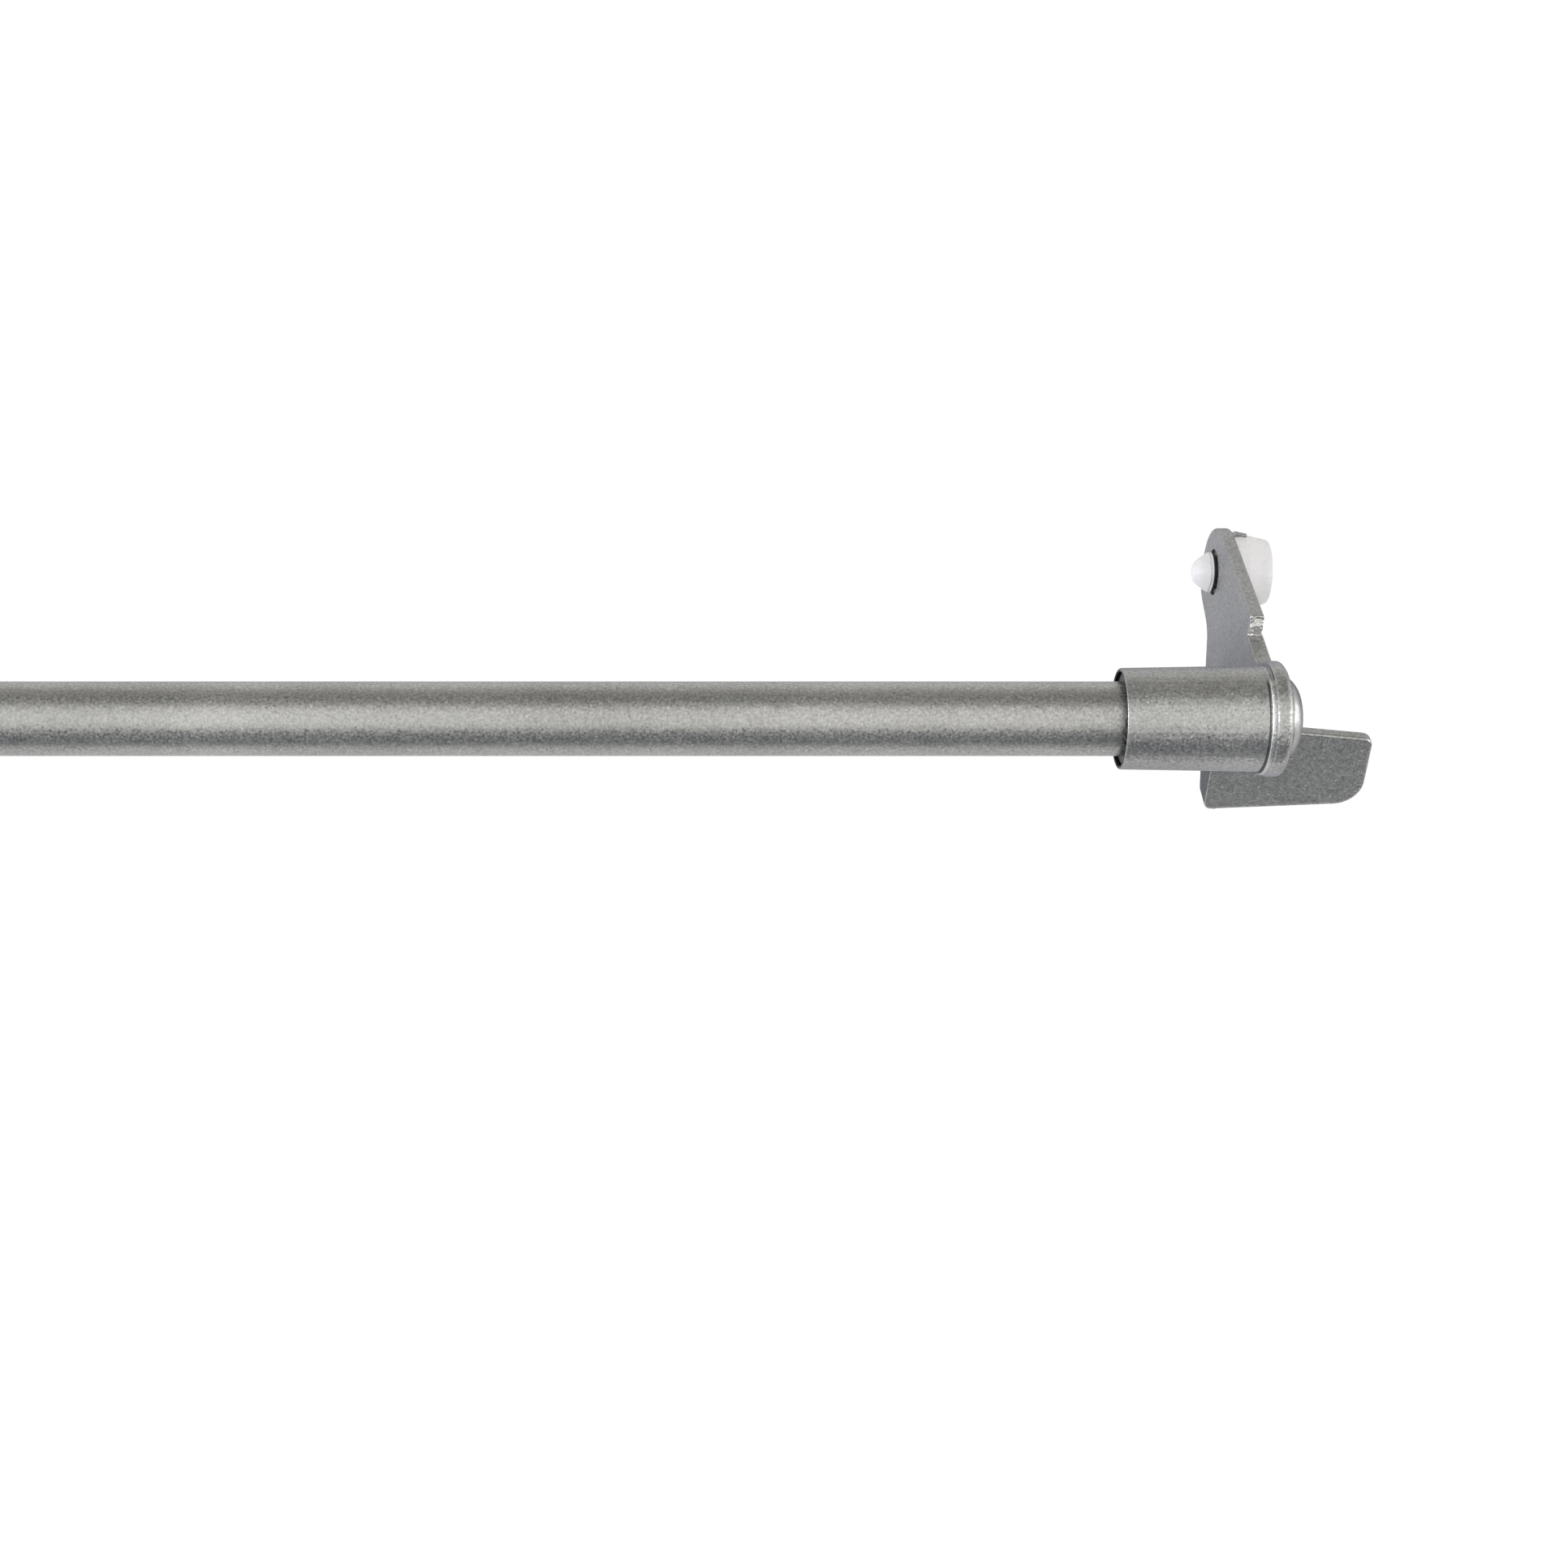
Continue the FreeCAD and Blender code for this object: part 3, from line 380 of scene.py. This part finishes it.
def moulded_plastic(name, low, high, rough):
    """Moulded plastic: a fine matte grain and slightly uneven tone."""
    material, graph = new_material(name)
    place = graph.add("ShaderNodeTexCoord").outputs["Object"]
    cloud = graph.noise(place, PLASTIC_CLOUDS, 3.0)
    shader = graph.add(
        "ShaderNodeBsdfPrincipled",
        Base_Color=graph.mix(graph.span(cloud, *MOST_NOISE), low, high),
        Roughness=graph.span(cloud, *MOST_NOISE, rough - PLASTIC_VARY, rough + PLASTIC_VARY),
        Normal=graph.grain(graph.noise(place, PLASTIC_GRAIN), FINE_RELIEF),
    )
    graph.add("ShaderNodeOutputMaterial", Surface=shader.outputs[0])
    return material


def clear_plastic(name):
    """Clear soft plastic with a milky haze, painted dark as painted shade where it fills the
    arm's hole.
    """
    material, graph = new_material(name)
    place = graph.add("ShaderNodeTexCoord").outputs["Object"]
    cloud = graph.noise(place, MILKY_CLOUDS, 3.0)
    distance = from_middle(graph, place)
    # Painted shade on the neck where it fills the arm's hole
    into_hole = graph.span(distance, NECK_START - RING_FADE, NECK_START)
    out_of_hole = graph.span(distance, NECK_END - RING_FADE, NECK_END, 1.0, 0.0)
    hole = graph.math("MULTIPLY", into_hole, out_of_hole)
    haze = graph.mix(graph.span(cloud, *MOST_NOISE), LILAC_HAZE, LILAC_WHITE)
    shader = graph.add(
        "ShaderNodeBsdfPrincipled",
        Base_Color=graph.mix(hole, haze, PAINTED_HOLE_SHADE),
        Roughness=graph.span(cloud, *MOST_NOISE, *MILKY_ROUGH),
        Normal=graph.grain(graph.noise(place, MILKY_RIPPLES, 1.0), MILKY_RELIEF),
        IOR=1.3,
        Transmission_Weight=0.3,
    )
    graph.add("ShaderNodeOutputMaterial", Surface=shader.outputs[0])
    return material


def turned_steel(name, low, high, rough):
    """Plated steel with fine rings from turning or drawing."""
    material, graph = new_material(name)
    place = graph.add("ShaderNodeTexCoord").outputs["Object"]
    stretch = graph.add("ShaderNodeMapping", Vector=place, Scale=(6.0, 1.0, 1.0)).outputs[0]
    rings = graph.noise(stretch, STEEL_RINGS)
    cloud = graph.noise(place, STEEL_CLOUDS, 3.0)
    shader = graph.add(
        "ShaderNodeBsdfPrincipled",
        Base_Color=graph.mix(graph.span(cloud, *MOST_NOISE), low, high),
        Roughness=graph.span(rings, *MOST_NOISE, rough - STEEL_VARY, rough + STEEL_VARY),
        Normal=graph.grain(rings, FINE_RELIEF),
        Metallic=1.0,
    )
    graph.add("ShaderNodeOutputMaterial", Surface=shader.outputs[0])
    return material


finishes = {
    "painted_tube": metallic_paint(
        "painted_tube", grey(0.19), grey(0.64, 0.01), 0.42, 0.6, 0.16, 0.22, grey(0.9)
    ),
    "painted_casting": metallic_paint(
        "painted_casting", grey(0.19), grey(0.64, 0.005), 0.42, 0.6, 0.16, 0.32, COOL_EDGE, True
    ),
    "painted_screw": metallic_paint(
        "painted_screw", grey(0.46), grey(0.52), 0.31, 0.1, 0.1, 0.15, grey(0.3)
    ),
    "clear_bumper": clear_plastic("clear_bumper"),
    # The grey plastic is near black: painted shade where it sits deep in the socket's mouth
    "grey_plastic": moulded_plastic("grey_plastic", grey(0.02), grey(0.035), 0.5),
    "black_plastic": moulded_plastic("black_plastic", grey(0.018), grey(0.026), 0.5),
    "white_plastic": moulded_plastic("white_plastic", grey(0.68, 0.01), grey(0.74, 0.01), 0.45),
    "bright_steel": turned_steel("bright_steel", grey(0.52), grey(0.6), 0.3),
    "spring_steel": turned_steel("spring_steel", grey(0.4), grey(0.48), 0.35),
}

for part in frame["record"]["subparts"]:
    node = frame["nodes"][part["node"]]
    node.data.materials.clear()
    node.data.materials.append(finishes[part["material_slot"]])


# Pieces that stand in for CAD nodes whose real surface is softer than the solid

# Inner face of the right-hand arm
WEB = 0.5521
# Casting: fineness of its mesh, rounds of smoothing, and depth and roughness of the torn gate
VOXEL = 0.00013
SMOOTHING = 5
MOST_TRIANGLES = 180000
GATE_TEAR = 0.00036
GATE_TEAR_FADE = 0.0002
COARSE_TEAR = 2600
FINE_TEAR = 6500
# Bead in the collar's groove, which sinks away where the arm's root rises past BEAD_TOP
BEAD_BEFORE = 0.00036
BEAD_RADIUS = 0.00722
BEAD_THICKNESS = 0.00034
BEAD_TOP = 0.55
BEAD_SINK = 0.00042
BEAD_SINK_RATE = 3
BEAD_STEPS = 120
BEAD_SIDES = 16
# Fuller round on the collar's outer edge, on the side away from the arm
COLLAR_RADIUS = 0.00775
EASE_START = 0.0011
EASE_ROUND = 0.0012
EASE_INNER = 0.0063
EASE_OUTER = 0.0079
FRONT_Y = -0.766
FRONT_Z = 0.643
FRONT_RATE = 2.5
# Pivot screw, measured outward from the arm's inner face
SHANK_END = -0.0105
SHANK_RADIUS = 0.0020
SHANK_EASE = 0.0003
HEAD_SEAT = 0.0023
HEAD = [
    (0.00230, 0.00578),
    (0.00260, 0.00576),
    (0.00285, 0.00560),
    (0.00345, 0.00510),
    (0.00410, 0.00416),
    (0.00443, 0.00300),
    (0.00462, 0.00180),
    (0.00471, 0.00080),
    (0.00473, 0.0),
]
HEAD_STEPS = 6
# Turned forms: steps round, the distance at which corners merge, and the angle of a sharp edge
TURN_STEPS = 128
TURN_MERGE = 0.000002
TURN_SHARP = math.radians(35)
# Bumper, measured the same way: snap head, neck and thick cone, with shallow moulding dents
BUMPER_Y = AXIS_Y + 0.0376
BUMPER_Z = AXIS_Z - 0.0015
BUMPER_DENT = 0.00012
DENTS = 900
DENT_FADE = 0.001
BUMPER = [
    (-0.00310, 0.0),
    (-0.00310, 0.00085),
    (-0.00300, 0.00125),
    (-0.00275, 0.00160),
    (-0.00220, 0.00205),
    (-0.00165, 0.00246),
    (-0.00110, 0.00284),
    (-0.00085, 0.00296),
    (-0.00070, 0.00292),
    (-0.00055, 0.00300),
    (-0.00010, 0.00300),
    (0.00003, 0.00288),
    (0.00003, 0.00255),
    (0.00200, 0.00255),
    (0.00200, 0.00610),
    (0.00215, 0.00617),
    (0.00350, 0.00582),
    (0.00500, 0.00545),
    (0.00640, 0.00511),
    (0.00765, 0.00481),
    (0.00782, 0.00468),
    (0.00790, 0.00440),
    (0.00790, 0.00200),
    (0.00790, 0.0),
]


def placed(name, data):
    """A new object in the scene."""
    thing = bpy.data.objects.new(name, data)
    scene.collection.objects.link(thing)
    return thing


def add_piece(name, mesh, slot, node):
    """A new object with a finish, which stands for a CAD node."""
    mesh.materials.clear()
    mesh.materials.append(finishes[slot])
    piece = placed(name, mesh)
    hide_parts(node)
    return piece


def baked(mesh, modifiers):
    """The mesh after a list of (type, settings) modifiers."""
    carrier = placed("carrier", mesh)
    for index, (kind, settings) in enumerate(modifiers):
        modifier = carrier.modifiers.new(f"step_{index}", kind)
        for key, setting in settings.items():
            setattr(modifier, key, setting)
    graph = bpy.context.evaluated_depsgraph_get()
    result = bpy.data.meshes.new_from_object(carrier.evaluated_get(graph))
    bpy.data.objects.remove(carrier)
    return result


def bead(form):
    """Adds a slim round bead at the inner edge of the socket's collar."""
    rings = []
    for index in range(BEAD_STEPS):
        angle = 2 * math.pi * index / BEAD_STEPS
        outward = Vector((0, math.cos(angle), math.sin(angle)))
        climb = (outward.y * RISE_Y + outward.z * RISE_Z - BEAD_TOP) / (1 - BEAD_TOP)
        reach = BEAD_RADIUS - BEAD_SINK * min(1.0, max(0.0, BEAD_SINK_RATE * climb))
        centre = Vector((WEB - BEAD_BEFORE, AXIS_Y, AXIS_Z)) + outward * reach
        ring = []
        for step in range(BEAD_SIDES):
            turn = 2 * math.pi * step / BEAD_SIDES
            offset = Vector((math.cos(turn), 0, 0)) + outward * math.sin(turn)
            ring.append(form.verts.new(centre + offset * BEAD_THICKNESS))
        rings.append(ring)
    for index, ring in enumerate(rings):
        following = rings[(index + 1) % BEAD_STEPS]
        for step in range(BEAD_SIDES):
            beside = (step + 1) % BEAD_SIDES
            form.faces.new((ring[step], ring[beside], following[beside], following[step]))


def eased_collar(place):
    """Rounds the collar's outer edge more fully on its free front side."""
    along = place.x - WEB - EASE_START
    offset = Vector((0, place.y - AXIS_Y, place.z - AXIS_Z))
    radius = offset.length
    if along <= 0 or not EASE_INNER < radius < EASE_OUTER:
        return place
    fade = (offset.y * FRONT_Y + offset.z * FRONT_Z) / radius
    fade = min(1.0, max(0.0, FRONT_RATE * fade))
    drop = EASE_ROUND - math.sqrt(max(0.0, EASE_ROUND ** 2 - min(along, EASE_ROUND) ** 2))
    limit = COLLAR_RADIUS - drop
    if radius <= limit:
        return place
    target = radius + (limit - radius) * fade
    return Vector((place.x, AXIS_Y, AXIS_Z)) + offset * (target / radius)


def soft_casting():
    """The right-hand casting with rounded edges everywhere, a collar bead and a torn gate."""
    source = frame["nodes"]["right_bracket"].data.copy()
    form = bmesh.new()
    form.from_mesh(source)
    bead(form)
    form.to_mesh(source)
    form.free()
    fine = baked(source, [("REMESH", {"mode": "VOXEL", "voxel_size": VOXEL})])
    for vertex in fine.vertices:
        vertex.co = eased_collar(vertex.co)
        place = vertex.co
        inside = min(
            min(place[axis] - GATE_LOW[axis], GATE_HIGH[axis] - place[axis])
            for axis in range(3)
        )
        if inside > 0:
            push = noise.noise(place * COARSE_TEAR) + 0.5 * noise.noise(place * FINE_TEAR)
            depth = GATE_TEAR * push * min(1, inside / GATE_TEAR_FADE)
            vertex.co = place + vertex.normal * depth
    ratio = MOST_TRIANGLES / (2 * len(fine.polygons))
    smooth = baked(fine, [("SMOOTH", {"factor": 0.5, "iterations": SMOOTHING})])
    moved = [
        (after.co - before.co).dot(before.normal)
        for before, after in zip(fine.vertices, smooth.vertices)
    ]
    smooth.attributes.new("moved", "FLOAT", "POINT").data.foreach_set("value", moved)
    coarse = baked(smooth, [("DECIMATE", {"ratio": min(1.0, ratio)})])
    coarse.shade_smooth()
    return coarse


def mirrored(mesh):
    """The left-hand copy of a right-hand mesh."""
    copy = mesh.copy()
    for vertex in copy.vertices:
        vertex.co.x = SPAN - vertex.co.x
    copy.flip_normals()
    return copy


def eased(corners, steps):
    """Points on a smooth curve through (distance, radius) corners."""
    points = []
    for index in range(len(corners) - 1):
        before = corners[max(index - 1, 0)]
        first, second = corners[index], corners[index + 1]
        after = corners[min(index + 2, len(corners) - 1)]
        for step in range(steps):
            t = step / steps
            point = []
            for a, b, c, d in zip(before, first, second, after):
                curve = 2 * b + (c - a) * t + (2 * a - 5 * b + 4 * c - d) * t ** 2
                point.append((curve + (3 * b - a - 3 * c + d) * t ** 3) / 2)
            points.append((point[0], max(0.0, point[1])))
    points.append(corners[-1])
    return points


def screw_rings():
    """The pivot screw from the end of its shank to the middle of its domed head."""
    shank = [
        (SHANK_END, 0.0),
        (SHANK_END, SHANK_RADIUS - SHANK_EASE),
        (SHANK_END + SHANK_EASE, SHANK_RADIUS),
        (HEAD_SEAT, SHANK_RADIUS),
    ]
    return shank + eased(HEAD, HEAD_STEPS)


def turned(name, side, rings, axis_y, axis_z, dent=0.0):
    """A turned form from (distance out from the arm's inner face, radius) pairs."""
    points = []
    faces = []
    for along, radius in rings:
        x = WEB + along if side == "right" else SPAN - WEB - along
        for index in range(TURN_STEPS):
            angle = 2 * math.pi * index / TURN_STEPS
            toward = Vector((math.cos(angle), math.sin(angle)))
            spot = Vector((along, toward.x * radius, toward.y * radius))
            reach = radius - dent * abs(noise.noise(spot * DENTS)) * min(1, radius / DENT_FADE)
            points.append((x, axis_y + reach * toward.x, axis_z + reach * toward.y))
    for ring in range(len(rings) - 1):
        for index in range(TURN_STEPS):
            near = ring * TURN_STEPS + index
            beside = ring * TURN_STEPS + (index + 1) % TURN_STEPS
            faces.append((near, beside, beside + TURN_STEPS, near + TURN_STEPS))
    mesh = bpy.data.meshes.new(name)
    mesh.from_pydata(points, [], faces)
    form = bmesh.new()
    form.from_mesh(mesh)
    bmesh.ops.remove_doubles(form, verts=form.verts, dist=TURN_MERGE)
    bmesh.ops.recalc_face_normals(form, faces=form.faces)
    form.to_mesh(mesh)
    form.free()
    mesh.shade_smooth()
    mesh.set_sharp_from_angle(angle=TURN_SHARP)
    return mesh


EVEN_NORMALS = [("WEIGHTED_NORMAL", {"mode": "FACE_AREA", "weight": 50})]
ENDS = {"right": "right_end", "left": "left_end"}
SCREWED_TUBES = {"right": "thin_tube", "left": "thick_tube"}

casting = soft_casting()
for side, end in ENDS.items():
    form = baked(casting if side == "right" else mirrored(casting), EVEN_NORMALS)
    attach(add_piece(f"{side}_casting", form, "painted_casting", f"{side}_bracket"), end)

screw = screw_rings()
for side, tube in SCREWED_TUBES.items():
    form = turned(f"{side}_screw_form", side, screw, AXIS_Y, AXIS_Z)
    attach(add_piece(f"{side}_screw", form, "painted_screw", f"{side}_pivot_screw"), tube)

for side, end in ENDS.items():
    form = turned(f"{side}_cushion_form", side, BUMPER, BUMPER_Y, BUMPER_Z, BUMPER_DENT)
    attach(add_piece(f"{side}_cushion", form, "clear_bumper", f"{side}_bumper"), end)

# A copy of the spring's coils stands in for its CAD node, with its transform baked into the mesh
coil_mesh = frame["nodes"]["tension_spring"].data.copy()
coils = add_piece("spring_coils", coil_mesh, "spring_steel", "tension_spring")
end = (SEAT_FACE, AXIS_Y, AXIS_Z)
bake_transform(coils)


# Floor, surroundings and lamps

FLOOR_LEVEL = -0.26
FLOOR_CORNERS = [(-2.2, -0.22), (2.8, -0.22), (2.8, 3.5), (-2.2, 3.5)]
# Strength of the floor's own glow, and its share when the floor is seen or only reflected
FLOOR_GLOW = 1.06
GLOW_SEEN = 0.9
GLOW_REFLECTED = 0.30
# The room that the part reflects, as directions eased onto brightness: a white wall behind,
# darker room above and in front, and pale walls at the two sides
WALL_BEHIND = (0.4, 0.9, 0.0, 0.75)
WALL_BEHIND_RISE = (0.3, 0.7, 1.0, 0.6)
WALLS_ASIDE = (0.6, 0.95)
WALLS_ASIDE_RISE = (-0.25, 0.25, 0.04, 0.68)
REST_OF_ROOM = (-0.5, 0.2, 0.22, 0.30)
# Its tint from below to above
TINT_RISE = (-0.5, 0.6)
COOL_LIGHT = (0.94, 0.98, 1.05, 1.0)
WARM_LIGHT = (1.01, 1.0, 0.94, 1.0)

floor_mesh = bpy.data.meshes.new("floor")
floor_mesh.from_pydata([(x, y, FLOOR_LEVEL) for x, y in FLOOR_CORNERS], [], [(0, 1, 2, 3)])
floor = placed("floor", floor_mesh)

floor_material, graph = new_material("pale_floor")
spot = graph.add("ShaderNodeTexCoord").outputs["Object"]
mottle = graph.noise(spot, FLOOR_CLOUDS, 3.0)
floor_colour = graph.mix(mottle, grey(0.86), grey(0.9))
matte = graph.add("ShaderNodeBsdfDiffuse", Color=floor_colour).outputs[0]
glow = graph.add("ShaderNodeEmission", Color=grey(1.0), Strength=FLOOR_GLOW).outputs[0]
seen = graph.math("MULTIPLY", graph.straight(), GLOW_SEEN)
share = graph.math("MAXIMUM", seen, GLOW_REFLECTED)
graph.add("ShaderNodeOutputMaterial", Surface=graph.shaders(share, matte, glow))
floor_mesh.materials.append(floor_material)

world = bpy.data.worlds.new("studio")
world.use_nodes = True
scene.world = world
graph = Graph(world.node_tree)
direction = graph.add("ShaderNodeTexCoord").outputs["Generated"]
across, depthwise, height = graph.parts(direction)
behind = graph.math(
    "MULTIPLY", graph.span(depthwise, *WALL_BEHIND), graph.span(height, *WALL_BEHIND_RISE)
)
turn = graph.span(graph.math("ABSOLUTE", across), *WALLS_ASIDE)
sideways = graph.math("MULTIPLY", turn, graph.span(height, *WALLS_ASIDE_RISE))
around = graph.span(height, *REST_OF_ROOM)
ambient = graph.math("ADD", graph.math("ADD", behind, sideways), around)
strength = graph.math("MINIMUM", ambient, 1.0)
tint = graph.mix(graph.span(height, *TINT_RISE), COOL_LIGHT, WARM_LIGHT)
room = graph.add("ShaderNodeBackground", Color=tint, Strength=strength).outputs[0]
white = graph.add("ShaderNodeBackground", Color=grey(1.0), Strength=1.0).outputs[0]
graph.add("ShaderNodeOutputWorld", Surface=graph.shaders(graph.straight(), room, white))


def softbox(name, place, width, height, power, tint=(1, 1, 1)):
    """An area lamp that faces the right-hand end of the rod."""
    data = bpy.data.lights.new(name, "AREA")
    data.shape = "RECTANGLE"
    data.size = width
    data.size_y = height
    data.energy = power
    data.color = tint
    lamp = placed(name, data)
    lamp.location = place
    lamp.rotation_mode = "QUATERNION"
    lamp.rotation_quaternion = (AIM - Vector(place)).to_track_quat("-Z", "Y")


softbox("key", (0.45, -0.985, 0.828), 2.4, 1.8, 12.9, (1.0, 0.998, 0.96))
softbox("glint", (1.46, -0.34, 0.28), 0.5, 0.3, 2.2, (1.0, 0.998, 0.95))
softbox("right_fill", (1.7, 0.1, 0.1), 0.6, 0.9, 2.0)
softbox("left_fill", (-0.9, -0.3, 0.3), 0.9, 0.9, 14.0, (0.95, 0.98, 1.03))
